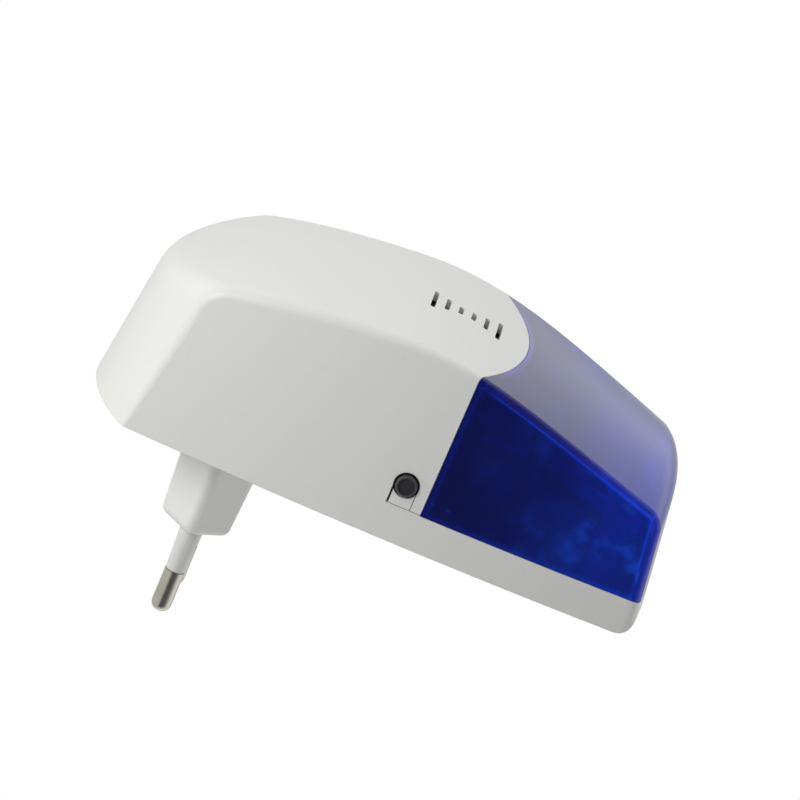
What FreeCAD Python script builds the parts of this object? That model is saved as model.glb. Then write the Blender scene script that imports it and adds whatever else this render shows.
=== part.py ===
"""Plug-in strobe siren: a white housing on a two-pin mains plug, with a blue strobe lens and a push button.

Millimetres. +Z is up, from the plug towards the strobe lens. The front cover looks along -Y. The back lies
in the plane Y = 0, with the plug behind it on the +Y side. The origin is on the back, between the two pins.
"""
import FreeCAD, Part
import math
import os

V = FreeCAD.Vector
os.makedirs("parts", exist_ok=True)

# ---- driving dimensions --------------------------------------------------------------------------
WALL = 2.0                     # thickness of the housing's walls
SEAM = 0.12                    # gap left at a parting line
HALF_WIDTH_END = 32.0          # half the width at the housing's corners
HALF_WIDTH_MID = 34.4          # half the width at the fullest place
PLUG_END = -29.0               # lowest point of the back outline, on the middle line
PLUG_CORNER = -19.0            # its corners
LENS_END = 85.9                # highest point of the back outline
LENS_CORNER = 84.2
DRAFT_HEIGHT = 45.0            # the walls lean in by the next three amounts over this depth
PLUG_CORNER_LEAN = 8.0
PLUG_END_LEAN = 6.4
LENS_END_LEAN = 6.2
SIDE_LEAN = 0.8
FRONT_PROFILE = [              # z and depth of the front surface along the housing
    (-40, 19.4), (-20, 29.6), (-4, 34.2), (12, 36.4), (28, 37.2),
    (40, 35.8), (54, 32.2), (70, 26.8), (96, 16.6),
]
CROWN_LOW = 0.3                # rise of the front across the width, at the plug end and at the lens
CROWN_LENS = 3.2
NOSE_RADIUS = 6.0              # round between the front and the plug end
BROW_RADIUS = 5.0              # round between the front and the lens end
NOSE_CREASE_RADIUS = 2.6       # the side creases are this soft at the nose and sharpen towards both far ends
CREASE_RADIUS = 1.4
HEEL_RADIUS = 3.5              # round between the back and the lens end
HEEL_STEPS = 7

STRIP = 7.0                    # height of the white strip that the lens stands on
JOINT_SIDE = 39.0              # where the lens meets the cover at the sides, and on the middle line
JOINT_MIDDLE = 46.6
JOINT_BOW = 3.2                # how far the joint has fallen back just outside the side walls
HAIRLINE = 0.14                # width of the fine groove between the button's pad and the lens

BACK_THICK = 2.2
BACK_GAP = 0.2

BUTTON_Z = 34.4                # the push button, in the side wall on the +X side
BUTTON_DEPTH = 11.4
BUTTON_R = 2.1
BUTTON_HOLE_R = 2.5
BUTTON_COLLAR_R = 2.9
BUTTON_PROUD = 0.9
TAB_HALF = 2.4                 # half the width of the pad below the button
TAB_GAP = 0.38                 # wide gap on the pad's plug side

SLOT_LENGTHS = [12.0, 8.0, 5.2, 5.2, 8.0, 12.0]
SLOT_WIDTH = 0.95
SLOT_PITCH = 2.75
SLOT_FIRST = 26.2

PIN_R = 2.0                    # two-pin mains plug
PIN_LENGTH = 19.0
PIN_SPACING_FACE = 18.6
PIN_SPACING_TIP = 17.5
SLEEVE_LENGTH = 10.0
SLEEVE_ROOT_R = 2.3            # the sleeve narrows from the plug to the bare metal
SLEEVE_END_R = 1.9
PIN_NECK_R = 1.6               # under the sleeve and inside the plug
PIN_TAIL = 4.5                 # how far each pin reaches into the housing
PLUG_HEIGHT = 20.2
PLUG_HALF_WIDTH = 17.6
PLUG_THICK_ROOT = 16.2
PLUG_THICK_FACE = 13.7
PLUG_FLAT = 9.6                # half the width of the plug's flat middle

BOARD_DEPTH = 8.0              # back face of the main circuit board
BOARD_THICK = 1.6
BOARD_LOW = -14.0
BOARD_HIGH = 47.0
BOARD_HALF = 26.0
BOARD_HOLES = [(-23.5, 16.0), (22.5, 24.0), (-23.5, 43.0)]
TOP = BOARD_DEPTH + BOARD_THICK     # depth of the board's component side

PLUNGER_R = 0.85               # the switch's plunger, behind the button
TRAFO = (-20.0, 1.4, -7.0, 13.0)    # x from, x to, z from, z to of the transformer
TRAFO_HIGH = 16.5
TRAFO_END = 4.0                # how far the winding stands out of the iron at both ends
MID_LIMB = 0.9                 # half the middle limb's width, in widths of an outer limb

CELL_R = 5.1                   # backup cells
CELL_LONG = 22.0
CELL_LOW = -3.2                # z of the cells' lower ends
CELL_X = [8.0, 18.5]
CELL_DEPTH = TOP + CELL_R + 1.3

SOUNDER_Z = 32.5               # sounder behind the slots
SOUNDER_R = 11.6
SOUNDER_BACK = 22.0
SOUNDER_WALL = 1.4

STROBE_TILT = 17.5             # strobe board behind the lens, leaning like the front
STROBE_LOW = 54.0
STROBE_LONG = 25.0
STROBE_HALF = 17.0
STROBE_DEPTH = 19.5
LAMP_X = [-12.0, 0.0, 12.0]
LAMP_Z = [5.0, 12.5, 20.0]
LAMP_R = 2.0

COVER_SCREW = (24.5, -7.0)     # x and z of the screws into the cover, and of those into the lens
LENS_SCREW = (23.0, 74.0)
BOSS_R = 3.0
SCREW_R = 1.2
SCREW_HEAD_R = 2.5


# ---- small helpers -------------------------------------------------------------------------------
def save(shape, name):
    """Write one sub-part, as its solid or as a group of separate solids."""
    solids = shape.Solids
    shape = solids[0] if len(solids) == 1 else Part.makeCompound(solids)
    if not shape.isValid():
        print("not valid:", name)
    shape.exportStep("parts/%s.step" % name)
    print("%-20s solids %2d volume %9.1f mm3" % (name, len(solids), shape.Volume))


def box(x0, x1, d0, d1, z0, z1):
    """A block between two x, two depths in front of the back plane, and two z."""
    return Part.makeBox(x1 - x0, d1 - d0, z1 - z0, V(x0, -d1, z0))


def rod(x, depth0, depth1, z, r):
    """A round bar along the depth."""
    return Part.makeCylinder(r, depth1 - depth0, V(x, -depth0, z), V(0, -1, 0))


def side_rod(x0, x1, depth, z, r):
    """A round bar along the width."""
    return Part.makeCylinder(r, x1 - x0, V(x0, -depth, z), V(1, 0, 0))


def ring(x, depth0, depth1, z, r_out, r_in):
    return rod(x, depth0, depth1, z, r_out).cut(rod(x, depth0 - 1, depth1 + 1, z, r_in))


def arc(a, b, c):
    return Part.Arc(V(*a), V(*b), V(*c)).toShape()


def fuse(shapes):
    return shapes[0].multiFuse(shapes[1:]).removeSplitter()


def edges_where(shape, test):
    """Edges whose middle point passes the test, given as x, depth, z and the edge."""
    found = []
    for e in shape.Edges:
        p = e.valueAt((e.FirstParameter + e.LastParameter) / 2)
        if test(p.x, -p.y, p.z, e):
            found.append(e)
    return found


# ---- the housing's outer form --------------------------------------------------------------------
def plan_wire(depth, inset):
    """The outline of the walls at one depth: full sides, a bowed plug end, a slightly bowed lens end."""
    t = depth / DRAFT_HEIGHT
    w_end = HALF_WIDTH_END - SIDE_LEAN * t - inset
    w_mid = HALF_WIDTH_MID - SIDE_LEAN * t - inset
    low = PLUG_END_LEAN * t + inset
    low_side = PLUG_CORNER_LEAN * t + inset
    high = LENS_END_LEAN * t + inset
    middle = (PLUG_CORNER + LENS_CORNER) / 2
    y = -depth
    right = arc((w_end, y, PLUG_CORNER + low_side), (w_mid, y, middle), (w_end, y, LENS_CORNER - high))
    top = arc((w_end, y, LENS_CORNER - high), (0, y, LENS_END - high), (-w_end, y, LENS_CORNER - high))
    left = arc((-w_end, y, LENS_CORNER - high), (-w_mid, y, middle), (-w_end, y, PLUG_CORNER + low_side))
    corner = PLUG_CORNER + low_side
    foot = arc((-w_end, y, corner), (0, y, PLUG_END + low), (w_end, y, corner))
    return Part.Wire([right, top, left, foot])


def crown(z):
    """How much the middle of the front stands above its side edges."""
    t = min(max((z + 10.0) / 80.0, 0.0), 1.0)
    return CROWN_LOW + (CROWN_LENS - CROWN_LOW) * t ** 3


def under_front(lowered):
    """Everything behind the front surface: arched sections, one at each point of the profile."""
    half = HALF_WIDTH_MID
    sections = []
    for z, depth in FRONT_PROFILE:
        side = depth - lowered
        top = side + crown(z)
        bow = arc((-half - 1, -side, z), (0, -top, z), (half + 1, -side, z))
        right = Part.makeLine(V(half + 1, -side, z), V(half + 1, 20, z))
        back = Part.makeLine(V(half + 1, 20, z), V(-half - 1, 20, z))
        left = Part.makeLine(V(-half - 1, 20, z), V(-half - 1, -side, z))
        sections.append(Part.Wire([bow, right, back, left]))
    return Part.makeLoft(sections, True, False)


def walls(inset, back=0.0):
    return Part.makeLoft([plan_wire(back, inset), plan_wire(DRAFT_HEIGHT, inset)], True, True)


def heel_trim():
    """What the round between the back and the lens end takes away, stepped along a quarter circle."""
    half = HALF_WIDTH_MID + 4
    bow = (LENS_END - LENS_CORNER) * (half / HALF_WIDTH_END) ** 2
    beyond = LENS_END + 10
    sections = []
    for i in range(HEEL_STEPS + 1):
        turn = math.pi / 2 * i / HEEL_STEPS
        depth = HEEL_RADIUS * (1 - math.cos(turn))
        end = LENS_END - LENS_END_LEAN * depth / DRAFT_HEIGHT - HEEL_RADIUS * (1 - math.sin(turn)) + 0.02
        y = -depth
        inner = arc((-half, y, end - bow), (0, y, end), (half, y, end - bow))
        right = Part.makeLine(V(half, y, end - bow), V(half, y, beyond))
        top = Part.makeLine(V(half, y, beyond), V(-half, y, beyond))
        left = Part.makeLine(V(-half, y, beyond), V(-half, y, end - bow))
        sections.append(Part.Wire([inner, right, top, left]))
    return Part.makeLoft(sections, True, True)


def outer_form():
    """The closed outside of the housing with its rounded nose, soft corners and fine side creases."""
    form = walls(0.0).common(under_front(0.0))
    nose = edges_where(form, lambda x, d, z, e: abs(x) < 5 and d > 15 and z < 0)
    form = form.makeFillet(NOSE_RADIUS, nose)
    brow = edges_where(form, lambda x, d, z, e: abs(x) < 5 and d > 15 and z > 60)
    form = form.makeFillet(BROW_RADIUS, brow)
    middle = (PLUG_CORNER + LENS_CORNER) / 2
    corners = edges_where(form, lambda x, d, z, e: abs(x) > 28 and 4 < d < 20 and abs(z - middle) > 40
                          and e.Length > 6)
    form = form.makeFillet(NOSE_CREASE_RADIUS, CREASE_RADIUS, corners)
    return form.cut(heel_trim())


def form_inside(inset):
    """The outer form drawn in by an even amount, and open past the back plane."""
    return walls(inset, -1.0).common(under_front(inset))


def lens_region(gap):
    """Where the lens is: above the white strip and beyond the bowed joint. gap moves its borders outwards."""
    half = HALF_WIDTH_MID + 6
    y0 = -(STRIP - gap)
    side = JOINT_SIDE - gap
    joint = arc((-half, y0, side - JOINT_BOW), (0, y0, JOINT_MIDDLE - gap), (half, y0, side - JOINT_BOW))
    right = Part.makeLine(V(half, y0, side - JOINT_BOW), V(half, y0, 100))
    top = Part.makeLine(V(half, y0, 100), V(-half, y0, 100))
    left = Part.makeLine(V(-half, y0, 100), V(-half, y0, side - JOINT_BOW))
    return Part.Face(Part.Wire([joint, right, top, left])).extrude(V(0, -60, 0))


# ---- housing -------------------------------------------------------------------------------------
def slot(z, length):
    """One sounder slot, with round ends, cut straight through the front."""
    r = SLOT_WIDTH / 2
    half = length / 2 - r
    bar = box(-half, half, 15, 60, z - r, z + r)
    return fuse([bar, rod(-half, 15, 60, z, r), rod(half, 15, 60, z, r)])


def boss(x, z, depth0, pilot_r, r=BOSS_R):
    """A screw post from inside the front down to depth0, with its pilot hole."""
    post = rod(x, depth0, 60, z, r).common(FORM_INSIDE)
    return post.cut(rod(x, depth0 - 1, depth0 + 9, z, pilot_r))


def front_cover():
    cover = FORM.cut(FORM_HOLLOW).cut(lens_region(SEAM))
    x, z = COVER_SCREW
    for sx in (-x, x):
        cover = cover.fuse(boss(sx, z, BACK_THICK + 0.1, SCREW_R * 0.8))
    for rx in (-9, 9):
        rib = box(rx - 0.6, rx + 0.6, FRONT_PROFILE[1][1], 60, -14, 14).common(FORM_INSIDE)
        cover = cover.fuse(rib.cut(FORM_LIP))
    for i, length in enumerate(SLOT_LENGTHS):
        cover = cover.cut(slot(SLOT_FIRST + i * SLOT_PITCH, length))
    cover = cover.cut(side_rod(25, 45, BUTTON_DEPTH, BUTTON_Z, BUTTON_HOLE_R))
    window = box(25, 45, STRIP, BUTTON_DEPTH, BUTTON_Z - TAB_HALF, BUTTON_Z + TAB_HALF)
    hairline = box(SIDE_FACE - 0.3, 45, STRIP, STRIP + HAIRLINE, BUTTON_Z + TAB_HALF - 0.1, JOINT_SIDE)
    return cover.cut(window).cut(hairline)


def strobe_lens():
    lens = FORM.cut(FORM_HOLLOW).common(lens_region(0))
    x, z = LENS_SCREW
    for sx in (-x, x):
        lens = lens.fuse(boss(sx, z, STRIP + 3.2, SCREW_R * 0.8))
    tongue = form_inside(WALL + 0.12).cut(FORM_LIP).common(lens_region(1.8)).cut(lens_region(-1.5))
    root = FORM_INSIDE.cut(FORM_LIP).common(lens_region(-0.1)).cut(lens_region(-1.5))
    lip = tongue.fuse(root).common(box(-22, 22, 20, 60, 30, 60))
    return lens.fuse(lip).removeSplitter()


def button_surround():
    """The small white pad that closes the cover's window below the button, with half of the button's hole."""
    gap = SEAM
    low = STRIP + gap
    pad = box(25, 45, low, BUTTON_DEPTH - gap, BUTTON_Z - TAB_HALF + TAB_GAP, BUTTON_Z + TAB_HALF - gap)
    pad = pad.common(FORM.cut(FORM_HOLLOW))
    top = BUTTON_DEPTH - BUTTON_COLLAR_R - 0.4
    foot = box(HALF_WIDTH_MID - 4.6, HALF_WIDTH_MID - WALL - 0.6, BACK_THICK + 0.1, top,
               BUTTON_Z - TAB_HALF - 1.5, BUTTON_Z + TAB_HALF + 1.5)
    bridge = box(HALF_WIDTH_MID - 3.2, HALF_WIDTH_MID - 1.6, low, top,
                 BUTTON_Z - TAB_HALF + TAB_GAP, BUTTON_Z + TAB_HALF - gap)
    piece = fuse([pad, foot, bridge])
    return piece.cut(side_rod(20, 45, BUTTON_DEPTH, BUTTON_Z, BUTTON_HOLE_R))


def back_cover():
    """Flat plate let into the rim, with the plug's opening, screw wells, vents and an inner locating rib."""
    inset = WALL + BACK_GAP
    plate = walls(inset).common(box(-50, 50, 0, BACK_THICK, -50, 120))
    opening = box(-PLUG_HALF_WIDTH - 2.2, PLUG_HALF_WIDTH + 2.2, -1, 5, -PLUG_THICK_ROOT / 2 - 2.2,
                  PLUG_THICK_ROOT / 2 + 2.2)
    plate = plate.cut(opening).cut(heel_trim())
    x, z = COVER_SCREW
    lens_x, lens_z = LENS_SCREW
    posts = []
    for sx in (-lens_x, lens_x):
        posts.append(rod(sx, BACK_THICK - 0.5, STRIP + 3.1, lens_z, BOSS_R))
    plate = fuse([plate] + posts)
    for sx in (-x, x):
        plate = plate.cut(rod(sx, -1, 1.4, z, SCREW_HEAD_R + 0.3)).cut(rod(sx, -1, 5, z, SCREW_R + 0.2))
    for sx in (-lens_x, lens_x):
        plate = plate.cut(rod(sx, -1, 7.0, lens_z, SCREW_HEAD_R + 0.3))
        plate = plate.cut(rod(sx, -1, 20, lens_z, SCREW_R + 0.2))
    for i in range(7):
        vz = 24 + i * 3.4
        plate = plate.cut(box(-9, 9, -1, 5, vz - 0.6, vz + 0.6))
    return plate


def case_screws():
    screws = []
    for (x, z), head, reach in ((COVER_SCREW, 0.2, 8.0), (LENS_SCREW, 5.6, 7.0)):
        for sx in (-x, x):
            pan = rod(sx, head, head + 1.2, z, SCREW_HEAD_R)
            pan = pan.makeFillet(0.5, edges_where(pan, lambda a, d, b, e: abs(d - head) < 0.01))
            shank = rod(sx, head + 1.1, head + 1.2 + reach, z, SCREW_R * 0.8)
            cross = fuse([box(sx - 1.4, sx + 1.4, head - 1, head + 0.7, z - 0.25, z + 0.25),
                          box(sx - 0.25, sx + 0.25, head - 1, head + 0.7, z - 1.4, z + 1.4)])
            screws.append(fuse([pan, shank]).cut(cross))
    return Part.makeCompound(screws)


# ---- mains plug ----------------------------------------------------------------------------------
def plug_section(depth_behind, half_w, half_t, flat):
    """Long hexagon with its points left and right, in a plane behind the back."""
    y = depth_behind
    pts = [(-half_w, 0), (-flat, -half_t), (flat, -half_t), (half_w, 0), (flat, half_t), (-flat, half_t)]
    return Part.makePolygon([V(x, y, z) for x, z in pts + pts[:1]])


def pin_axis(side):
    """Root on the plug's face and direction of one pin: the pins lean together towards their tips."""
    root = V(side * PIN_SPACING_FACE / 2, PLUG_HEIGHT, 0)
    tip = V(side * PIN_SPACING_TIP / 2, PLUG_HEIGHT + PIN_LENGTH, 0)
    return root, (tip - root).normalize()


def along(side, start, end, r):
    """A round bar on one pin's axis, between two distances from the plug's face."""
    root, way = pin_axis(side)
    return Part.makeCylinder(r, end - start, root + way * start, way)


def plug_body():
    root = plug_section(0.0, PLUG_HALF_WIDTH + 1.0, PLUG_THICK_ROOT / 2, PLUG_FLAT + 0.6)
    face = plug_section(PLUG_HEIGHT, PLUG_HALF_WIDTH, PLUG_THICK_FACE / 2, PLUG_FLAT)
    body = Part.makeLoft([root, face], True, True)
    half = PLUG_THICK_ROOT / 2
    flange = box(-PLUG_HALF_WIDTH - 2, PLUG_HALF_WIDTH + 2, 0.0, 1.2, -half - 2, half + 2)
    seat_low, seat_high = BACK_THICK + 0.05, BACK_THICK + 1.4
    seat = box(-PLUG_HALF_WIDTH - 3, PLUG_HALF_WIDTH + 3, seat_low, seat_high, -half - 3, half + 3)
    core = box(-PLUG_HALF_WIDTH - 2, PLUG_HALF_WIDTH + 2, 0.6, BACK_THICK + 0.3, -half - 2, half + 2)
    rim = edges_where(body, lambda x, d, z, e: d < -PLUG_HEIGHT + 0.1)
    uprights = edges_where(body, lambda x, d, z, e: -PLUG_HEIGHT + 1 < d < -1)
    body = body.makeFillet(1.9, rim + uprights)
    body = fuse([body, flange, core, seat])
    for side in (-1, 1):
        body = body.cut(along(side, -30, 5, PIN_NECK_R))
    return body


def plug_pin(side):
    """Nickel-plated pin: slim under its sleeve, full size beyond it, with a round nose."""
    neck = along(side, -PLUG_HEIGHT - PIN_TAIL, SLEEVE_LENGTH + 0.1, PIN_NECK_R)
    bare = along(side, SLEEVE_LENGTH, PIN_LENGTH, PIN_R)
    nose = edges_where(bare, lambda x, d, z, e: d < -PLUG_HEIGHT - PIN_LENGTH + 0.5)
    bare = bare.makeFillet(PIN_R * 0.9, nose)
    return fuse([neck, bare])


def pin_sleeve(side):
    root, way = pin_axis(side)
    gap = SEAM
    tube = Part.makeCone(SLEEVE_ROOT_R, SLEEVE_END_R, SLEEVE_LENGTH - 2 * gap, root + way * gap, way)
    return tube.cut(along(side, -1, SLEEVE_LENGTH + 1, PIN_NECK_R))


# ---- push button ---------------------------------------------------------------------------------
def button_cap(face_x):
    """Short round cap with a bevelled rim round its dished face, and a collar that keeps it in the hole."""
    back = face_x - 3.75
    cap = side_rod(back, face_x, BUTTON_DEPTH, BUTTON_Z, BUTTON_R)
    cap = cap.makeChamfer(0.35, edges_where(cap, lambda x, d, z, e: x > face_x - 0.01))
    dish = side_rod(face_x - 0.25, face_x + 1, BUTTON_DEPTH, BUTTON_Z, BUTTON_R - 0.6)
    collar = side_rod(back, back + 0.7, BUTTON_DEPTH, BUTTON_Z, BUTTON_COLLAR_R)
    socket = side_rod(back - 1, back + 1.2, BUTTON_DEPTH, BUTTON_Z, PLUNGER_R)
    return fuse([cap, collar]).cut(dish).cut(socket)


def switch_plunger(face_x):
    return side_rod(face_x - 6.2, face_x - 2.55, BUTTON_DEPTH, BUTTON_Z, PLUNGER_R)


# ---- electronics ---------------------------------------------------------------------------------


def main_board():
    """Main circuit board with notches round the cover's screw posts and a step for the switch."""
    board = box(-BOARD_HALF, BOARD_HALF, BOARD_DEPTH, TOP, BOARD_LOW, BOARD_HIGH)
    board = fuse([board, box(0, HALF_WIDTH_MID - 5.0, BOARD_DEPTH, TOP, BUTTON_Z - 4.5, BUTTON_Z + 4.5)])
    x, z = COVER_SCREW
    for sx in (-x, x):
        board = board.cut(rod(sx, 0, 20, z, BOSS_R + 1.2))
        low, high = min(sx, sx * 1.5), max(sx, sx * 1.5)
        board = board.cut(box(low, high, 0, 20, z - BOSS_R - 1.2, z + BOSS_R + 1.2))
    for hx, hz in BOARD_HOLES:
        board = board.cut(rod(hx, 0, 20, hz, 1.3))
    return board


def board_posts():
    """Three spacers that carry the main board on the back cover."""
    posts = []
    for x, z in BOARD_HOLES:
        posts.append(ring(x, BACK_THICK, BOARD_DEPTH, z, 2.6, 0.9))
    return Part.makeCompound(posts)


def board_screws():
    screws = []
    for x, z in BOARD_HOLES:
        head = rod(x, TOP, TOP + 1.3, z, 2.1)
        head = head.makeFillet(0.6, edges_where(head, lambda a, d, b, e: abs(d - TOP - 1.3) < 0.01))
        cross = fuse([box(x - 1.2, x + 1.2, TOP + 0.7, TOP + 2, z - 0.2, z + 0.2),
                      box(x - 0.2, x + 0.2, TOP + 0.7, TOP + 2, z - 1.2, z + 1.2)])
        screws.append(fuse([head, rod(x, TOP - 5.5, TOP + 0.1, z, 0.9)]).cut(cross))
    return Part.makeCompound(screws)


def transformer_core():
    """Laminated iron frame with two windows, standing on the board."""
    x0, x1, z0, z1 = TRAFO
    core = box(x0, x1, TOP + 0.2, TOP + TRAFO_HIGH, z0 + TRAFO_END, z1 - TRAFO_END)
    limb = (x1 - x0) / 6
    mid = (x0 + x1) / 2
    low, high = TOP + 0.2 + limb, TOP + TRAFO_HIGH - limb
    for a, b in ((x0 + limb, mid - limb * MID_LIMB), (mid + limb * MID_LIMB, x1 - limb)):
        core = core.cut(box(a, b, low, high, z0 - 1, z1 + 1))
    return core


def transformer_winding():
    """Copper winding wrapped round the core's middle limb, bulging out of both its windows."""
    x0, x1, z0, z1 = TRAFO
    limb = (x1 - x0) / 6
    mid = (x0 + x1) / 2
    low, high = TOP + 0.5 + limb, TOP + TRAFO_HIGH - limb - 0.3
    coil = box(x0 + limb + 0.3, x1 - limb - 0.3, low + 1.0, high - 1.0, z0 + 0.6, z1 - 0.6)
    coil = coil.makeFillet(2.0, edges_where(coil, lambda x, d, z, e: low + 2 < d < high - 2))
    half = limb * MID_LIMB + 0.2
    hole = box(mid - half, mid + half, low - 3, high + 3, z0 + TRAFO_END - 0.2, z1 - TRAFO_END + 0.2)
    return coil.cut(hole)


def transformer_bobbin():
    """The two flanges that hold the winding in."""
    x0, x1, z0, z1 = TRAFO
    limb = (x1 - x0) / 6
    mid = (x0 + x1) / 2
    low, high = TOP + 0.5 + limb, TOP + TRAFO_HIGH - limb - 0.3
    flanges = []
    for a, b in ((low, low + 0.9), (high - 0.9, high)):
        plate = box(x0 + limb + 0.3, x1 - limb - 0.3, a, b, z0, z1)
        half = limb * MID_LIMB + 0.2
        hole = box(mid - half, mid + half, a - 1, b + 1, z0 + TRAFO_END - 0.2, z1 - TRAFO_END + 0.2)
        flanges.append(plate.cut(hole))
    return Part.makeCompound(flanges)


def filter_capacitors():
    """Two upright cans and one film block."""
    cans = []
    for x, z, r, h in ((-14.0, 19.5, 4.0, 11.0), (-13.5, 30.0, 3.2, 9.0)):
        can = rod(x, TOP + 0.1, TOP + h, z, r)
        can = can.makeFillet(0.5, edges_where(can, lambda a, d, b, e: abs(d - TOP - h) < 0.01))
        groove = ring(x, TOP + 1.6, TOP + 2.3, z, r + 1, r - 0.35)
        cans.append(can.cut(groove))
    return Part.makeCompound(cans)


def film_capacitor():
    block = box(-20.5, -8.5, TOP + 0.3, TOP + 8.5, 36.0, 41.0)
    return block.makeFillet(0.6, block.Edges)


def mains_fuse():
    return side_rod(4.2, 13.8, TOP + 2.7, -11.3, 2.0)


def fuse_clips():
    clips = []
    for x0, x1 in ((1.2, 4.1), (13.9, 16.8)):
        cap = side_rod(x0, x1, TOP + 2.7, -11.3, 2.3)
        leg = box((x0 + x1) / 2 - 0.8, (x0 + x1) / 2 + 0.8, TOP, TOP + 1.2, -11.7, -10.9)
        clips.append(fuse([cap, leg]))
    return Part.makeCompound(clips)


def chip(x0, x1, z0, z1, high, pins, pitch):
    """A moulded circuit with gull legs along its two long sides."""
    body = box(x0, x1, TOP + 0.3, TOP + 0.3 + high, z0, z1)
    body = body.makeChamfer(0.25, edges_where(body, lambda x, d, z, e: abs(d - TOP - 0.3 - high) < 0.01))
    parts = [body]
    start = (x0 + x1) / 2 - pitch * (pins - 1) / 2
    for i in range(pins):
        x = start + i * pitch
        for z_in, z_out in ((z0 + 0.2, z0 - 1.4), (z1 - 0.2, z1 + 1.4)):
            parts.append(box(x - 0.25, x + 0.25, TOP + 0.9, TOP + 1.15, min(z_in, z_out), max(z_in, z_out)))
            foot = z_out + (0.25 if z_out < z_in else -0.25)
            parts.append(box(x - 0.25, x + 0.25, TOP, TOP + 1.15, min(foot, z_out), max(foot, z_out)))
    return fuse(parts)


def control_chip():
    return chip(-7.0, 5.0, 23.2, 29.2, 2.2, 8, 1.4)


def driver_chip():
    return chip(-5.0, 1.0, 32.0, 36.0, 1.6, 4, 1.4)


def radio_board():
    """The receiver's own small board, standing on the main board."""
    return box(9.0, 21.0, TOP + 0.1, TOP + 8.0, 43.4, 44.6)


def radio_can():
    can = box(10.5, 19.5, TOP + 1.6, TOP + 7.0, 40.6, 43.3)
    return can.makeFillet(0.5, edges_where(can, lambda x, d, z, e: z < 40.7))


def antenna_wire():
    """Quarter-wave wire: it rises from the receiver, turns and runs down inside the cover's side."""
    r = 0.5
    pts = [V(20.0, -(TOP + 8.1), 44.0), V(20.0, -(TOP + 12.0), 44.0), V(20.0, -(TOP + 15.0), 41.0),
           V(20.0, -(TOP + 15.0), 10.0)]
    first = Part.makeLine(pts[0], pts[1])
    s = math.sqrt(0.5)
    mid = V(20.0, pts[1].y - 3.0 * s, 41.0 + 3.0 * s)
    bend = Part.Arc(pts[1], mid, pts[2]).toShape()
    last = Part.makeLine(pts[2], pts[3])
    path = Part.Wire([first, bend, last])
    ringlet = Part.Wire([Part.makeCircle(r, pts[0], V(0, -1, 0))])
    return path.makePipeShell([ringlet], True, False)


def battery_cells():
    """Two backup cells side by side under the sounder."""
    cells = []
    for x in CELL_X:
        can = Part.makeCylinder(CELL_R, CELL_LONG, V(x, -CELL_DEPTH, CELL_LOW), V(0, 0, 1))
        can = can.makeFillet(0.6, edges_where(can, lambda a, d, z, e: e.Closed))
        tip = Part.makeCylinder(1.9, 1.0, V(x, -CELL_DEPTH, CELL_LOW + CELL_LONG - 0.1), V(0, 0, 1))
        cells.append(fuse([can, tip]))
    return Part.makeCompound(cells)


def battery_cradle():
    """Moulded tray that the cells lie in."""
    high = CELL_LOW + CELL_LONG
    tray = box(CELL_X[0] - 5.8, CELL_X[1] + 5.8, TOP + 0.2, TOP + 5.0, CELL_LOW - 2.0, high + 2.6)
    for x in CELL_X:
        bed = Part.makeCylinder(CELL_R + 0.25, CELL_LONG + 2.2, V(x, -CELL_DEPTH, CELL_LOW - 0.6), V(0, 0, 1))
        tray = tray.cut(bed)
    x, z = COVER_SCREW
    return tray.cut(rod(x, 0, 30, z, BOSS_R + 0.6))


def battery_contacts():
    """Spring plates at the cells' two ends."""
    plates = []
    for x in CELL_X:
        for z in (CELL_LOW - 0.55, CELL_LOW + CELL_LONG + 1.1):
            plates.append(box(x - 3.0, x + 3.0, TOP + 2.0, TOP + 8.6, z, z + 0.4))
    return Part.makeCompound(plates)


def lead_connector():
    block = box(9.0, 17.0, TOP + 0.1, TOP + 5.0, 33.0, 37.0)
    for i in range(3):
        block = block.cut(box(10.0 + i * 2.3, 11.6 + i * 2.3, TOP + 1.5, TOP + 6.0, 33.8, 36.2))
    return block


def mains_tags():
    """Tabs that carry the mains from the pins' tails up to the board."""
    tags = []
    for side in (-1, 1):
        root, way = pin_axis(side)
        tail = root + way * (-PLUG_HEIGHT - PIN_TAIL)
        tags.append(box(tail.x - 1.6, tail.x + 1.6, -tail.y + 0.08, -tail.y + 0.5, -1.4, 1.4))
        tags.append(box(tail.x - 0.4, tail.x + 0.4, -tail.y + 0.5, BOARD_DEPTH - 0.02, -1.4, 1.4))
    return Part.makeCompound([fuse(tags[:2]), fuse(tags[2:])])


# ---- button switch -------------------------------------------------------------------------------
def tact_switch(face_x):
    """Side-acting switch at the board's edge, behind the button."""
    back = face_x - 10.0
    body = box(back, face_x - 5.9, TOP + 0.1, TOP + 4.4, BUTTON_Z - 3.0, BUTTON_Z + 3.0)
    bore = side_rod(face_x - 6.9, face_x - 5, BUTTON_DEPTH, BUTTON_Z, PLUNGER_R + 0.05)
    body = body.makeChamfer(0.3, edges_where(body, lambda x, d, z, e: abs(d - TOP - 4.4) < 0.01))
    return body.cut(bore)


def switch_legs(face_x):
    legs = []
    for dx in (-9.3, -7.0):
        for dz in (-3.3, 3.05):
            legs.append(box(face_x + dx, face_x + dx + 0.6, TOP, TOP + 2.0, BUTTON_Z + dz,
                            BUTTON_Z + dz + 0.25))
    return Part.makeCompound(legs)


# ---- sounder -------------------------------------------------------------------------------------


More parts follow.
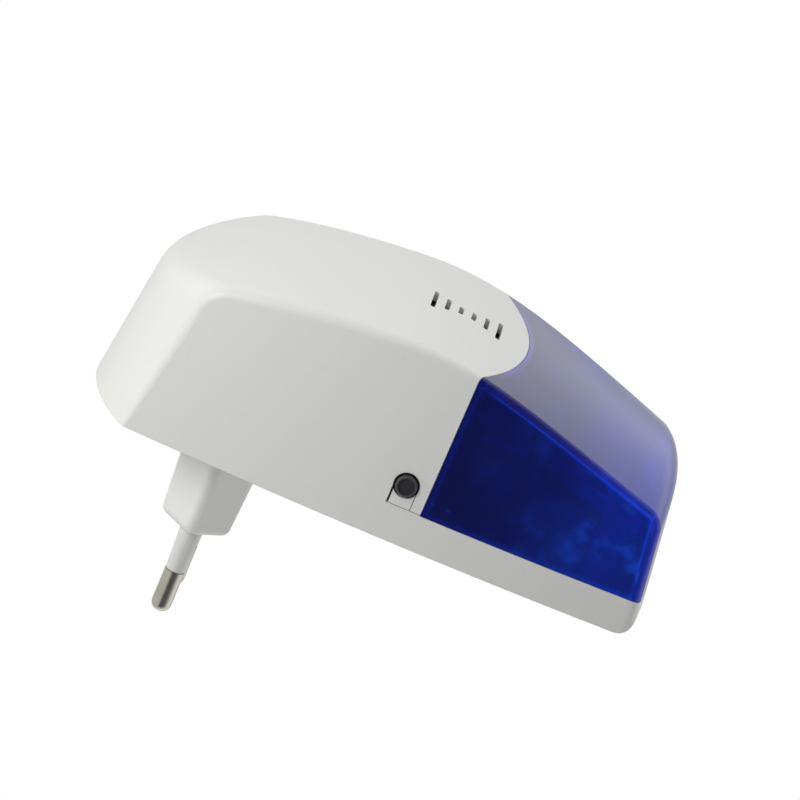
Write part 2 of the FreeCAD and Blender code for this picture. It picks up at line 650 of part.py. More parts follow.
def sounder_chamber():
    """Cup behind the slots with the disc's seat inside and a short horn throat open towards the cover."""
    wall = rod(0, SOUNDER_BACK, 60, SOUNDER_Z, SOUNDER_R).common(under_front(WALL + 1.0))
    room = rod(0, SOUNDER_BACK + 1.2, 60, SOUNDER_Z, SOUNDER_R - SOUNDER_WALL)
    return wall.cut(room).fuse(ring(0, SOUNDER_BACK + 1.0, SOUNDER_BACK + 3.0, SOUNDER_Z, SOUNDER_R - 1.2,
                                    SOUNDER_R - 3.2)).removeSplitter()


def sounder_gasket():
    """Foam ring between the chamber's rim and the cover."""
    band = ring(0, SOUNDER_BACK, 60, SOUNDER_Z, SOUNDER_R, SOUNDER_R - SOUNDER_WALL)
    return band.common(under_front(WALL + 0.15)).cut(under_front(WALL + 0.95))


def piezo_plate():
    return rod(0, SOUNDER_BACK + 3.05, SOUNDER_BACK + 3.35, SOUNDER_Z, SOUNDER_R - 1.6)


def piezo_ceramic():
    return rod(0, SOUNDER_BACK + 3.38, SOUNDER_BACK + 3.6, SOUNDER_Z, SOUNDER_R - 4.5)


# ---- strobe --------------------------------------------------------------------------------------


def tilted(shape):
    """From a level layout with its lower edge at the origin to the strobe's place, leaning like the front."""
    shape = shape.copy()
    shape.rotate(V(0, 0, 0), V(1, 0, 0), -STROBE_TILT)
    shape.translate(V(0, -STROBE_DEPTH, STROBE_LOW))
    return shape


def strobe_board():
    return tilted(box(-STROBE_HALF, STROBE_HALF, 0, BOARD_THICK, 0, STROBE_LONG))


def strobe_reflector():
    """Bright tray over the board with a cone round each lamp."""
    tray = box(-STROBE_HALF, STROBE_HALF, 1.7, 4.6, 0, STROBE_LONG)
    tray = tray.makeFillet(0.8, edges_where(tray, lambda x, d, z, e: abs(d - 4.6) < 0.01))
    for x in LAMP_X:
        for z in LAMP_Z:
            tray = tray.cut(Part.makeCone(2.8, 3.9, 3.4, V(x, -1.5, z), V(0, -1, 0)))
    return tilted(tray)


def strobe_lamps():
    """Nine lamps with domed ends."""
    lamps = []
    for x in LAMP_X:
        for z in LAMP_Z:
            base = rod(x, 1.65, 2.4, z, 2.4)
            body = rod(x, 2.4, 4.2, z, LAMP_R)
            dome = Part.makeSphere(LAMP_R, V(x, -4.2, z))
            lamps.append(tilted(fuse([base, body, dome])))
    return Part.makeCompound(lamps)


def strobe_posts():
    """Two struts that hold the strobe board over the back cover."""
    posts = []
    for x in (-12.0, 12.0):
        for z in (57.0, 76.0):
            post = rod(x, BACK_THICK, 40, z, 2.0)
            posts.append(post.cut(tilted(box(-40, 40, -0.02, 60, -30, 60))))
    return Part.makeCompound(posts)


def strobe_leads():
    """Three short leads from the main board towards the strobe board, just over the main board's end."""
    leads = []
    for i in range(3):
        x = -6.0 + i * 2.2
        a = V(x, -(TOP + 1.0), 43.0)
        b = V(x, -(TOP + 1.0), 49.0)
        c = V(x, -(TOP + 4.0), 52.0)
        line = Part.makeLine(a, b)
        s = math.sqrt(0.5)
        bend = Part.Arc(b, V(x, b.y - 3.0 * (1 - s), b.z + 3.0 * s), c).toShape()
        ringlet = Part.Wire([Part.makeCircle(0.55, a, V(0, 0, 1))])
        leads.append(Part.Wire([line, bend]).makePipeShell([ringlet], True, False))
    return Part.makeCompound(leads)


def rating_label():
    """Blank rating plate on the back cover."""
    return box(-17.0, 17.0, -0.12, 0.0, 50.0, 66.0)


# ---- build ---------------------------------------------------------------------------------------
FORM = outer_form()
FORM_HOLLOW = form_inside(WALL)
FORM_INSIDE = form_inside(WALL - 0.3)
FORM_LIP = form_inside(WALL + 1.3)

side_line = Part.makeLine(V(0, -BUTTON_DEPTH, BUTTON_Z), V(60, -BUTTON_DEPTH, BUTTON_Z))
SIDE_FACE = side_line.common(FORM).BoundBox.XMax
face = SIDE_FACE + BUTTON_PROUD
print("button face at x", round(face, 3), "side wall at", round(SIDE_FACE, 3))

save(front_cover(), "front_cover")
save(strobe_lens(), "strobe_lens")
save(button_surround(), "button_surround")
save(back_cover(), "back_cover")
save(case_screws(), "case_screws")
save(rating_label(), "rating_label")
save(plug_body(), "plug_body")
for side, name in ((-1, "left"), (1, "right")):
    save(plug_pin(side), "plug_pin_" + name)
    save(pin_sleeve(side), "pin_sleeve_" + name)
save(button_cap(face), "button_cap")
save(switch_plunger(face), "switch_plunger")
save(tact_switch(face), "tact_switch_body")
save(switch_legs(face), "switch_legs")
save(main_board(), "main_board")
save(board_posts(), "board_posts")
save(board_screws(), "board_screws")
save(transformer_core(), "transformer_core")
save(transformer_winding(), "transformer_winding")
save(transformer_bobbin(), "transformer_bobbin")
save(filter_capacitors(), "filter_capacitors")
save(film_capacitor(), "film_capacitor")
save(mains_fuse(), "mains_fuse")
save(fuse_clips(), "fuse_clips")
save(mains_tags(), "mains_tags")
save(control_chip(), "control_chip")
save(driver_chip(), "driver_chip")
save(radio_board(), "radio_board")
save(radio_can(), "radio_can")
save(antenna_wire(), "antenna_wire")
save(battery_cells(), "battery_cells")
save(battery_cradle(), "battery_cradle")
save(battery_contacts(), "battery_contacts")
save(lead_connector(), "lead_connector")
save(sounder_chamber(), "sounder_chamber")
save(sounder_gasket(), "sounder_gasket")
save(piezo_plate(), "piezo_plate")
save(piezo_ceramic(), "piezo_ceramic")
save(strobe_board(), "strobe_board")
save(strobe_reflector(), "strobe_reflector")
save(strobe_lamps(), "strobe_lamps")
save(strobe_posts(), "strobe_posts")
save(strobe_leads(), "strobe_leads")
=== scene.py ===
# %% [markdown]
# This file dresses a plug-in alarm siren: a white moulded housing on a two-pin plug, with a clear blue strobe
# lens over one end and a small black push button in the side. The shapes come ready made from the frame, one
# object for each real piece, in metres. What is left to do here is what a model maker and a product
# photographer would do: give every piece its finish, with the detail that is too fine to be a shape, and
# light it all softly.

# %% Load the frame
import math
import bpy
from mathutils import Matrix, Vector


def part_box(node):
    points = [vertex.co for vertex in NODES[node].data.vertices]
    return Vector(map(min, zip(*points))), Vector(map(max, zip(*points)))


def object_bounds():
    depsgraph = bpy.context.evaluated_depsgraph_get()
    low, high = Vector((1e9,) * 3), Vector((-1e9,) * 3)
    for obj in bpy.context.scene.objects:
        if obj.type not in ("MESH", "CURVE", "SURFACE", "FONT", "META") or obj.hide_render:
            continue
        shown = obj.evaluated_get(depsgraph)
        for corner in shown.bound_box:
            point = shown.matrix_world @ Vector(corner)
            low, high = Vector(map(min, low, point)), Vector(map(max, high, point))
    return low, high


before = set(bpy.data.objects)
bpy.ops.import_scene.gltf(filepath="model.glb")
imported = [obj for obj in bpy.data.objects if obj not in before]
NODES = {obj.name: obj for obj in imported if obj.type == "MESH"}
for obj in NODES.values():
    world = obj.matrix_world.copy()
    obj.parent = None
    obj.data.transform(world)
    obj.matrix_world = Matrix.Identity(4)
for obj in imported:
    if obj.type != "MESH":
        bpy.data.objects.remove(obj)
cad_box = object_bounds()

MM = 0.001
print("pieces in the frame:", len(NODES))

# %% [markdown]
# A finish is a small network of shader nodes. Wiring nodes one by one hides the idea behind it, so the next
# cell makes a socket behave like a number: a class wraps it, and adding or multiplying two wrapped sockets
# puts down the Math node for it. A second class holds a tree of nodes and has a single method that adds every
# other kind of node.

# %% Sockets that behave like numbers
class Wire:
    """An output socket that can be used in arithmetic."""

    def __init__(self, graph, socket):
        self.graph = graph
        self.socket = socket

    def sum(self, operation, *values):
        return self.graph.sum(operation, *values)

    def __add__(self, other):
        return self.sum("ADD", self, other)

    def __radd__(self, other):
        return self.sum("ADD", other, self)

    def __sub__(self, other):
        return self.sum("SUBTRACT", self, other)

    def __rsub__(self, other):
        return self.sum("SUBTRACT", other, self)

    def __mul__(self, other):
        return self.sum("MULTIPLY", self, other)

    def __rmul__(self, other):
        return self.sum("MULTIPLY", other, self)

    def between(self, low, high):
        """0 below low, 1 above high, and a smooth rise from one to the other."""
        return self.graph.add(
            "ShaderNodeMapRange", {"interpolation_type": "SMOOTHSTEP"},
            {"Value": self, "From Min": low, "From Max": high, "To Min": 0.0, "To Max": 1.0})


# %% One way to add a node
class Graph:
    """A tree of shader nodes with one way to add to it."""

    space = "Object"            # which Texture Coordinate output says where a point is

    def __init__(self, tree):
        self.tree = tree

    def add(self, kind, settings=None, sockets=None, output=0):
        """Adds a node, makes its settings, fills its sockets, and gives back one of its outputs."""
        node = self.tree.nodes.new(kind)
        for key, value in (settings or {}).items():
            setattr(node, key, value)
        for key, value in (sockets or {}).items():
            self.fill(node.inputs[key], value)
        return Wire(self, node.outputs[output])

    def fill(self, socket, value):
        if isinstance(value, Wire):
            self.tree.links.new(value.socket, socket)
        elif socket.type == "RGBA" and len(value) == 3:
            socket.default_value = (*value, 1.0)
        else:
            socket.default_value = value

    def sum(self, operation, *values):
        """A Math node on numbers."""
        return self.add("ShaderNodeMath", {"operation": operation}, dict(enumerate(values)))

    def place(self):
        """Where a point is: in metres, in the frame's own axes, for every piece alike."""
        return self.add("ShaderNodeTexCoord", output=self.space)

    def axis(self, letter):
        """The same place along one axis."""
        return self.add("ShaderNodeSeparateXYZ", None, {0: self.place()}, output=letter)

    def vector(self, operation, first, second, output=0):
        """A Vector Math node on two vectors."""
        return self.add("ShaderNodeVectorMath", {"operation": operation}, {0: first, 1: second}, output)


# %% [markdown]
# A finish is such a tree with one shader at its end. What changes over a surface is made of a few things
# only: soft noise, stripes, the distance from somewhere, and how close a sharp edge is. Moulded edges are
# never quite sharp, so a finish can also ease them, which makes them catch a thin line of light.

# %% Finishes
class Finish(Graph):
    """One material: a Principled shader and the nodes that feed it."""

    def __init__(self, name, **constants):
        self.material = bpy.data.materials.new(name)
        self.material.use_nodes = True
        super().__init__(self.material.node_tree)
        self.shader = self.tree.nodes["Principled BSDF"]
        self.set(**constants)

    def set(self, **sockets):
        """Fills the shader's own sockets: Base_Color means Base Color."""
        for key, value in sockets.items():
            self.fill(self.shader.inputs[key.replace("_", " ")], value)
        return self

    def stretched(self, x, y, z):
        """The same place with each axis scaled on its own, for grain that runs one way."""
        return self.vector("MULTIPLY", self.place(), (x, y, z))

    def noise(self, size, detail=2.0, rough=0.5, place=None):
        """Soft random patches about size metres across, from 0 to 1."""
        return self.add(
            "ShaderNodeTexNoise", None,
            {"Vector": place or self.place(), "Scale": 1.0 / size, "Detail": detail, "Roughness": rough})

    def mix(self, amount, first, second):
        """A colour between two colours."""
        return self.add("ShaderNodeMix", {"data_type": "RGBA"}, {0: amount, 6: first, 7: second}, output=2)

    def softened(self, radius):
        """The surface's direction with its sharp edges eased by a small radius."""
        return self.add("ShaderNodeBevel", {"samples": 4}, {"Radius": radius})

    def geometry(self, output):
        """What the surface itself knows, such as its direction."""
        return self.add("ShaderNodeNewGeometry", output=output)

    def edge(self, radius):
        """0 on flat places, rising to about 1 close to a sharp edge."""
        real = self.geometry("Normal")
        alike = self.vector("DOT_PRODUCT", self.softened(radius), real, output="Value")
        return (1 - alike).between(0.02, 0.2)

    def bump(self, height, deep, eased=0.0):
        """Raises the surface by height, where 1 stands for deep metres."""
        sockets = {"Height": height, "Distance": deep, "Strength": 1.0}
        if eased:
            sockets["Normal"] = self.softened(eased)
        return self.set(Normal=self.add("ShaderNodeBump", None, sockets))


def dress(finish, *names):
    """Gives a finish to whole pieces of the frame."""
    for name in names:
        for slot in NODES[name].material_slots:
            slot.material = finish.material
    print("%-18s on %s" % (finish.material.name, ", ".join(names)))


# %% [markdown]
# The housing is white moulded plastic with the faintly matt skin of an eroded steel mould. Up close that skin
# is a field of tiny rounded bumps about a fifth of a millimetre across; from afar it only softens the
# highlights. A plain white shader looks like paper, so four things are layered: the fine bumps, wide soft
# patches in the gloss where hands and packing have polished it, a very slight warm drift in the colour, as
# old white plastic has, and a few faint specks.

# %% White moulded plastic
EASED = 0.18 * MM               # how round the outer edges look beyond their modelled rounds
SPECK = (0.45, 0.43, 0.38)      # grey-brown of the few dust specks caught in the plastic


def moulded(name, colour, warm, gloss, grain=0.22 * MM, deep=0.006 * MM, eased=0.0):
    """Moulded plastic: colour drifts towards warm, gloss is the middle roughness, grain the skin's bumps."""
    finish = Finish(name, IOR=1.5, Specular_IOR_Level=0.45)
    patches = finish.noise(35 * MM, detail=3.0)
    skin = finish.noise(grain, detail=1.0)
    specks = finish.noise(1.1 * MM, detail=0.0).between(0.76, 0.80)
    tone = finish.mix(patches, colour, warm)
    finish.set(Base_Color=finish.mix(specks * 0.05, tone, SPECK))
    finish.set(Roughness=gloss + (patches - 0.5) * 0.14 + (skin - 0.5) * 0.10)
    return finish.bump(skin, deep, eased)


white = moulded("white_moulding", (0.835, 0.842, 0.820), (0.825, 0.828, 0.792), 0.42, eased=EASED)
dress(white, "front_cover", "button_surround")
back_white = moulded("white_back", (0.82, 0.826, 0.808), (0.81, 0.812, 0.78), 0.5, eased=EASED)
dress(back_white, "back_cover")
plug_white = moulded("white_plug", (0.85, 0.855, 0.84), (0.845, 0.845, 0.82), 0.34, deep=0.004 * MM)
dress(plug_white, "plug_body")

# %% [markdown]
# The strobe lens is polycarbonate tinted right through, about two millimetres thick and polished. Light that
# goes in at the front comes out deep blue at the side, so the shader lets most of the light through and keeps
# a small share as coloured body. Its surface is not perfectly flat: a slow waviness of a few hundredths of a
# millimetre makes reflections swim. The rest is painted light, a glow the lens gives off though it is no
# lamp:
# painted shade and light on the inner face, a painted bright blue line along the inner corner, a painted dull
# violet reflection along the rounded outer one, and a few painted pale swirls on the inner face. Corners are
# found by easing the edges and seeing where that changes the surface's direction; the inner face is the one
# that looks back towards the middle of the lens. A surface seen from behind has its direction turned over, so
# that is turned back first.

# %% Which way the lens's faces look
def looks_inward(finish, low, high):
    """1 on faces that look towards the middle of a box, 0 on those that look out of it."""
    outward = finish.vector("SUBTRACT", finish.place(), (low + high) / 2)
    leaving = finish.vector("DOT_PRODUCT", outward, finish.geometry("True Normal"), output="Value")
    unflipped = 1 - 2 * finish.geometry("Backfacing")
    return 1 - (leaving * unflipped).between(-0.001, 0.001)


# %% Blue lens
SIDE_WALL = 28.5 * MM, 29.5 * MM        # across: only the side walls' faces lie beyond this
PAST_JOINT = 41.5 * MM, 44.0 * MM       # along: just past the joint with the white cover
OVER_STRIP = -11.5 * MM, -9.5 * MM      # in depth: just in front of the white strip
FAR_HALF = 40 * MM, 80 * MM             # along: the tint grows lighter over this stretch
DEEP_BLUE, CLEAR_BLUE = (0.005, 0.014, 0.20), (0.016, 0.075, 0.50)
# Painted light: colours of the lens's own glow, from painted shade to painted light.
PAINTED_SHADE_GLOW, PAINTED_LIT_GLOW = (0.0006, 0.0016, 0.020), (0.002, 0.013, 0.12)
# Painted light: pale glowing swirls, a painted violet reflection and a painted bright blue glowing line.
PAINTED_SWIRL_GLOW, PAINTED_RIM_REFLECTION, PAINTED_GLOW_BLUE = (0.010, 0.110, 0.42), (0.058, 0.030, 0.22), (0.03, 0.20, 1.0)


def lens_blue_with_painted_glow():
    finish = Finish("blue_lens", IOR=1.47, Transmission_Weight=0.8, Emission_Strength=1.0)
    inside = looks_inward(finish, *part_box("strobe_lens"))
    side_wall = finish.sum("ABSOLUTE", finish.axis("X")).between(*SIDE_WALL)
    off_white = finish.axis("Z").between(*PAST_JOINT) * (1 - finish.axis("Y").between(*OVER_STRIP))
    far = finish.axis("Z").between(*FAR_HALF)
    # Blotches that grow towards the far end: they lighten the tint, and on the inner face they set the
    # painted glow.
    cloud = (finish.noise(16 * MM, detail=3.0) * 0.9 + far * 0.75 - 0.35).between(0.0, 1.0)
    # Painted glow: a few pale swirls of light on the inner face towards the far end.
    painted_swirls = finish.noise(8 * MM, detail=4.0, rough=0.6).between(0.50, 0.68) * far * inside * side_wall
    # Painted reflection: a dull violet glow on the rounded outer corner past the joint.
    rim = finish.edge(2.4 * MM) * (1 - inside) * off_white
    # Painted highlight: a bright blue glowing line along the inner corner, strongest past the joint.
    painted_glow_line = finish.edge(1.3 * MM) * inside * side_wall * (0.3 + off_white * 0.7)
    # Painted glow on the inner face, from painted shade to painted light, with the painted marks laid over
    # it.
    painted_light_colour = finish.mix(cloud * inside, PAINTED_SHADE_GLOW, PAINTED_LIT_GLOW)
    for amount, colour in (painted_swirls, PAINTED_SWIRL_GLOW), (rim, PAINTED_RIM_REFLECTION), (painted_glow_line, PAINTED_GLOW_BLUE):
        painted_light_colour = finish.mix(amount, painted_light_colour, colour)
    # The lens gives off this painted light as a glow, though it is no lamp.
    finish.set(Base_Color=finish.mix(cloud, DEEP_BLUE, CLEAR_BLUE), Emission_Color=painted_light_colour)
    finish.set(Roughness=0.03 + finish.noise(4 * MM, detail=2.0) * 0.03)
    return finish.bump(finish.noise(12 * MM, detail=1.0), 0.03 * MM)


dress(lens_blue_with_painted_glow(), "strobe_lens")

# %% [markdown]
# The button is a small black cap. Its dished face is matt; its bevelled rim is glossier and painted a
# lighter grey, a painted highlight where the bevel catches light. Both are a matter of distance from the
# button's own axis, so the finish measures that distance.

# %% Black button
def button_black():
    low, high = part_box("button_cap")
    finish = Finish("black_button", IOR=1.5)
    away = finish.vector("SUBTRACT", finish.place(), (low + high) / 2)
    flat = finish.vector("MULTIPLY", away, (0, 1, 1))
    radius = finish.vector("LENGTH", flat, (0, 0, 0), output="Value")
    rim = radius.between(1.4 * MM, 1.7 * MM)
    skin = finish.noise(0.15 * MM, detail=1.0)
    # The rim's lighter grey is a painted highlight where the bevel catches light.
    finish.set(Base_Color=finish.mix(rim, (0.022, 0.023, 0.026), (0.05, 0.05, 0.053)))
    finish.set(Roughness=0.52 - rim * 0.22 + (skin - 0.5) * 0.1)
    return finish.bump(skin, 0.004 * MM)


dress(button_black(), "button_cap")

# %% [markdown]
# Each pin is brass with bright nickel over it, turned on a lathe: fine rings round it and duller patches
# where it has slid in and out of sockets. The half next to the plug wears a glossy sleeve. The same nickel, a
# little whiter, covers the small sheet parts inside.

# %% Pins and sleeves
def nickel(name, colour, rough):
    finish = Finish(name, Metallic=1.0)
    dull = tuple(channel * 0.72 for channel in colour)
    rings = finish.noise(0.09 * MM, detail=2.0, place=finish.stretched(0.06, 1.0, 0.06))
    wear = finish.noise(4 * MM, detail=3.0, place=finish.stretched(1.0, 0.25, 1.0)).between(0.45, 0.7)
    finish.set(Base_Color=finish.mix(wear * 0.6, colour, dull))
    finish.set(Roughness=rough + wear * 0.12 + (rings - 0.5) * 0.12)
    return finish.bump(rings, 0.004 * MM)


dress(nickel("nickel_pins", (0.60, 0.58, 0.50), 0.24), "plug_pin_left", "plug_pin_right")
dress(nickel("nickel_sheet", (0.66, 0.64, 0.58), 0.3), "battery_contacts", "fuse_clips", "radio_can",
      "switch_legs")
sleeve = moulded("glossy_sleeve", (0.80, 0.81, 0.79), (0.76, 0.765, 0.74), 0.2, grain=0.6 * MM,
                 deep=0.003 * MM)
sleeve.set(Coat_Weight=0.4, Coat_Roughness=0.08)
dress(sleeve, "pin_sleeve_left", "pin_sleeve_right")

# %% [markdown]
# Inside are the parts that make it work. They show only as shapes behind the blue lens or through the vents,
# and to anyone who takes the cover off, so each still has its own stuff: green solder mask over copper,
# varnished iron, enamelled wire, shrink sleeve, nylon.

# %% Circuit boards
def board_green():
    finish = Finish("board_green", IOR=1.5, Coat_Weight=0.5, Coat_Roughness=0.15)
    place = finish.stretched(1.0, 0.0, 1.0)
    tracks = finish.add(
        "ShaderNodeTexVoronoi", {"distance": "MANHATTAN", "feature": "F1"},
        {"Vector": place, "Scale": 260.0, "Randomness": 0.55})
    lines = (1 - tracks.between(0.30, 0.34)) + tracks.between(0.52, 0.56)
    finish.set(Base_Color=finish.mix(lines * 0.6, (0.010, 0.095, 0.035), (0.030, 0.190, 0.070)))
    finish.set(Roughness=0.38 - lines * 0.12)
    return finish.bump(lines, 0.03 * MM)


dress(board_green(), "main_board", "strobe_board", "radio_board")

# %% [markdown]
# The transformer is a stack of thin iron sheets round a bobbin of lacquered copper wire. Both are regular, so
# a wave texture gives them their stripes: flat sheets one way, round turns the other. The sheets' cut edges
# carry a little brown rust. The screws are zinc plated and finely scratched.

# %% Transformer and screws
def laminated_iron():
    finish = Finish("laminated_iron", Metallic=0.75)
    sheets = finish.add(
        "ShaderNodeTexWave", {"wave_type": "BANDS", "bands_direction": "Z"},
        {"Vector": finish.place(), "Scale": 320.0, "Distortion": 0.4})
    rust = finish.noise(5 * MM, detail=5.0).between(0.55, 0.75)
    finish.set(Base_Color=finish.mix(rust * 0.5, (0.17, 0.17, 0.18), (0.23, 0.12, 0.07)))
    finish.set(Roughness=0.45 + rust * 0.2)
    return finish.bump(sheets, 0.05 * MM)


def wound_wire():
    finish = Finish("wound_wire", Metallic=0.85, Coat_Weight=0.6, Coat_Roughness=0.1)
    turns = finish.add(
        "ShaderNodeTexWave", {"wave_type": "BANDS", "bands_direction": "Y"},
        {"Vector": finish.place(), "Scale": 700.0, "Distortion": 0.8, "Detail": 1.0})
    finish.set(Base_Color=finish.mix(turns, (0.28, 0.10, 0.04), (0.72, 0.34, 0.14)), Roughness=0.32)
    return finish.bump(turns, 0.12 * MM)


def zinc_screw():
    finish = Finish("zinc_screw", Metallic=1.0)
    scratch = finish.noise(0.4 * MM, detail=4.0, place=finish.stretched(1.0, 1.0, 0.2))
    finish.set(Base_Color=finish.mix(scratch, (0.50, 0.50, 0.51), (0.68, 0.67, 0.62)))
    finish.set(Roughness=0.22 + scratch * 0.2)
    return finish.bump(scratch, 0.006 * MM)


dress(laminated_iron(), "transformer_core")
dress(wound_wire(), "transformer_winding", "mains_tags")
dress(zinc_screw(), "case_screws", "board_screws")

# %% [markdown]
# Most of what is left is moulded plastic again, so the first finish is used with other colours and gloss:
# nylon posts, black switch and chip cases, wire insulation, a printed label, soft foam round the sounder. The
# capacitors and the battery cells are cans with shiny film shrunk round them. Film ripples as it shrinks, and
# its print runs down one side.

# %% Small mouldings, wraps and foam
dress(moulded("natural_nylon", (0.74, 0.74, 0.69), (0.70, 0.69, 0.62), 0.4), "board_posts", "strobe_posts",
      "lead_connector", "sounder_chamber")
dress(moulded("black_moulding", (0.024, 0.024, 0.027), (0.034, 0.034, 0.036), 0.45), "tact_switch_body",
      "control_chip", "driver_chip", "battery_cradle", "transformer_bobbin")
dress(moulded("grey_plunger", (0.10, 0.10, 0.11), (0.12, 0.12, 0.12), 0.4), "switch_plunger")
dress(moulded("amber_block", (0.58, 0.36, 0.04), (0.50, 0.28, 0.03), 0.25), "film_capacitor")
dress(moulded("red_insulation", (0.48, 0.025, 0.02), (0.40, 0.02, 0.02), 0.35), "antenna_wire",
      "strobe_leads")
dress(moulded("rating_paper", (0.70, 0.71, 0.72), (0.66, 0.67, 0.67), 0.55, grain=0.4 * MM),
      "rating_label")
dress(moulded("foam_ring", (0.03, 0.03, 0.032), (0.05, 0.05, 0.05), 0.9, grain=0.7 * MM, deep=0.08 * MM),
      "sounder_gasket")

# %% Film on cans and cells
def shrink_sleeve(name, colour, band):
    """Shiny film drawn tight over a can, a little wavy, with a printed stripe down one side."""
    finish = Finish(name, IOR=1.5, Coat_Weight=0.8, Coat_Roughness=0.06)
    ripple = finish.noise(3 * MM, detail=2.0)
    stripe = finish.noise(20 * MM, detail=0.0, place=finish.stretched(1.0, 0.0, 0.0)).between(0.5, 0.52)
    finish.set(Base_Color=finish.mix(stripe, colour, band), Roughness=0.22 + ripple * 0.1)
    return finish.bump(ripple, 0.04 * MM)


dress(shrink_sleeve("capacitor_film", (0.02, 0.028, 0.07), (0.035, 0.045, 0.10)), "filter_capacitors")
dress(shrink_sleeve("cell_film", (0.03, 0.26, 0.12), (0.04, 0.32, 0.15)), "battery_cells")

# %% [markdown]
# The fuse is a glass tube, a little smoked round the middle of its wire. The sounder is a brass disc with a
# silvered ceramic wafer on it, and borrows its finishes from the pins and the housing.

# %% Fuse and sounder
def fuse_tube():
    low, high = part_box("mains_fuse")
    finish = Finish("fuse_tube", Transmission_Weight=0.95, IOR=1.5)
    from_middle = finish.sum("ABSOLUTE", finish.axis("X") - (low.x + high.x) / 2)
    soot = finish.noise(1.5 * MM, detail=3.0) * (1 - from_middle.between(0.5 * MM, 3.5 * MM))
    finish.set(Base_Color=finish.mix(soot, (0.92, 0.95, 0.95), (0.34, 0.31, 0.27)))
    return finish.set(Roughness=0.02 + soot * 0.2)


dress(fuse_tube(), "mains_fuse")
dress(nickel("rolled_brass", (0.72, 0.52, 0.22), 0.28), "piezo_plate")
dress(moulded("silvered_ceramic", (0.72, 0.71, 0.68), (0.66, 0.65, 0.62), 0.35), "piezo_ceramic")

# %% [markdown]
# Behind the lens stands the strobe: a plastic tray with a film of aluminium on it, slightly dimpled like the
# skin of an orange, and in it nine clear lamps with a trace of cloud. They are what shimmers through the
# blue.

# %% Strobe reflector and lamps
def bright_tray():
    finish = Finish("bright_tray", Metallic=0.9)
    orange_peel = finish.noise(1.6 * MM, detail=1.0)
    finish.set(Base_Color=finish.mix(orange_peel, (0.80, 0.82, 0.85), (0.86, 0.87, 0.89)))
    finish.set(Roughness=0.12 + orange_peel * 0.08)
    return finish.bump(orange_peel, 0.02 * MM)


def lamp_clear():
    finish = Finish("lamp_clear", IOR=1.5, Transmission_Weight=0.7)
    cloud = finish.noise(1.2 * MM, detail=1.0)
    finish.set(Base_Color=finish.mix(cloud, (0.80, 0.86, 0.95), (0.92, 0.94, 0.97)))
    finish.set(Roughness=0.06 + cloud * 0.05)
    return finish.bump(cloud, 0.01 * MM)


dress(bright_tray(), "strobe_reflector")
dress(lamp_clear(), "strobe_lamps")

# %% [markdown]
# The camera stands level with the siren's side, a little round towards its front, and is rolled so that the
# siren leans as if it lay in the hand: the plug points down and the lens to the right. A long lens from 0.8 m
# away keeps the far edges almost as large as the near ones, as a product photographer would.

# %% Camera
LIFT = math.radians(15.9)       # how far the camera has moved from the button's side towards the front
TURN = math.radians(0.8)        # and towards the plug end
ROLL = math.radians(23.0)       # and how far the picture is turned
FAR = 0.8                       # metres from the middle of the picture
LENS_MM = 185.3
SENSOR_MM = 36.0

away = Vector((math.cos(TURN) * math.cos(LIFT), -math.sin(LIFT), -math.sin(TURN) * math.cos(LIFT)))
along = Vector((math.sin(TURN), 0.0, math.cos(TURN)))
across = away.cross(along)
right = math.cos(ROLL) * along + math.sin(ROLL) * across
up = math.cos(ROLL) * across - math.sin(ROLL) * along

centre = Vector((-2.89, -15.63, 27.58)) * MM        # what the camera looks at

camera_data = bpy.data.cameras.new("camera")
camera_data.lens = LENS_MM
camera_data.sensor_width = SENSOR_MM
camera_data.clip_start = 0.05
camera = bpy.data.objects.new("camera", camera_data)
bpy.context.scene.collection.objects.link(camera)
camera.rotation_mode = "QUATERNION"
camera.rotation_quaternion = Matrix((right, up, away)).transposed().to_quaternion()
camera.location = centre + away * FAR
bpy.context.scene.camera = camera
print("camera at", [round(v, 3) for v in camera.location])

# %% [markdown]
# White goods on white are lit from all round: white paper stands behind and to both sides, and only the room
# in front of the button's side is dim, so that wall falls into a light grey while the front and the ends stay
# bright. What the lens mirrors at a glancing angle is the paper, which turns its front a pale violet, and
# what it mirrors straight on is the dim room, which leaves its side deep blue. The wall behind the siren is
# grey, or the lens would fade into white along its far edge. All of this is one world whose strength depends
# on the direction, and the camera itself sees plain white in it.

# %% Paper all round
DIM_SIDE = 0.10                 # brightness of the room in front of the button's side
WALL_GREY = 0.5                 # how much of the paper's light the wall behind the siren holds back

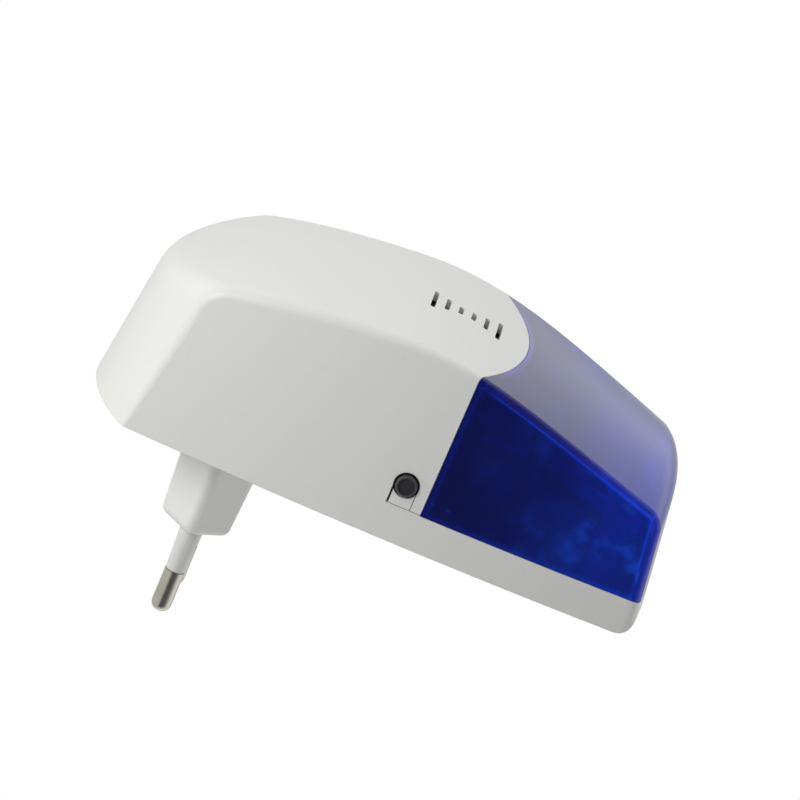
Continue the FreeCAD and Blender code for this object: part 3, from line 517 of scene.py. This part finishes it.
world = bpy.data.worlds.new("studio")
bpy.context.scene.world = world
world.use_nodes = True
sky = Graph(world.node_tree)
sky.space = "Generated"         # for a world this is the direction that is looked in
side = sky.axis("X")
room = side.between(-0.16, 0.82) * (1 - DIM_SIDE)
wall = (1 - side.between(-0.8, -0.4)) * sky.axis("Y").between(-0.24, 0.06) * WALL_GREY
seen = sky.add("ShaderNodeLightPath", output="Is Camera Ray")
background = world.node_tree.nodes["Background"]
background.inputs["Color"].default_value = (1.0, 1.0, 1.0, 1.0)
sky.fill(background.inputs["Strength"], 1 - (room + wall) * (1 - seen))
bpy.context.scene.view_settings.view_transform = "Standard"
print("room at %.2f and wall at %.2f of the paper's white" % (DIM_SIDE, 1 - WALL_GREY))

# %% [markdown]
# One broad lamp near the plug end shades the walls along their length. The floor is a plain disc of pale
# paper. It lies well below the siren, which hangs in a socket, so hardly any shadow reaches it.

# %% Lamp and floor
LAMP_FROM_MIDDLE = Vector((0.24, -0.12, -0.20))
LAMP_SIZE = 0.12
LAMP_WATTS = 0.40
FLOOR_DROP = 0.22
FLOOR_REACH = 0.9
FLOOR_SIDES = 96

low, high = cad_box
middle = (low + high) / 2

lamp_data = bpy.data.lights.new("key", "AREA")
lamp_data.shape = "DISK"
lamp_data.size = LAMP_SIZE
lamp_data.energy = LAMP_WATTS
lamp = bpy.data.objects.new("key", lamp_data)
lamp.location = middle + LAMP_FROM_MIDDLE
lamp.rotation_mode = "QUATERNION"
lamp.rotation_quaternion = LAMP_FROM_MIDDLE.to_track_quat("Z", "Y")
bpy.context.scene.collection.objects.link(lamp)

turns = [2 * math.pi * i / FLOOR_SIDES for i in range(FLOOR_SIDES)]
rim = [(FLOOR_REACH * math.cos(t), FLOOR_REACH * math.sin(t), low.z - FLOOR_DROP) for t in turns]
floor_mesh = bpy.data.meshes.new("floor")
floor_mesh.from_pydata(rim, [], [tuple(range(FLOOR_SIDES))])
floor = bpy.data.objects.new("floor", floor_mesh)
bpy.context.scene.collection.objects.link(floor)
paper = Finish("floor_paper", Roughness=0.8)
paper.set(Base_Color=paper.mix(paper.noise(50 * MM), (0.90, 0.90, 0.90), (0.93, 0.93, 0.92)))
floor_mesh.materials.append(paper.material)
print("floor %.0f mm below the plug end" % (FLOOR_DROP / MM))
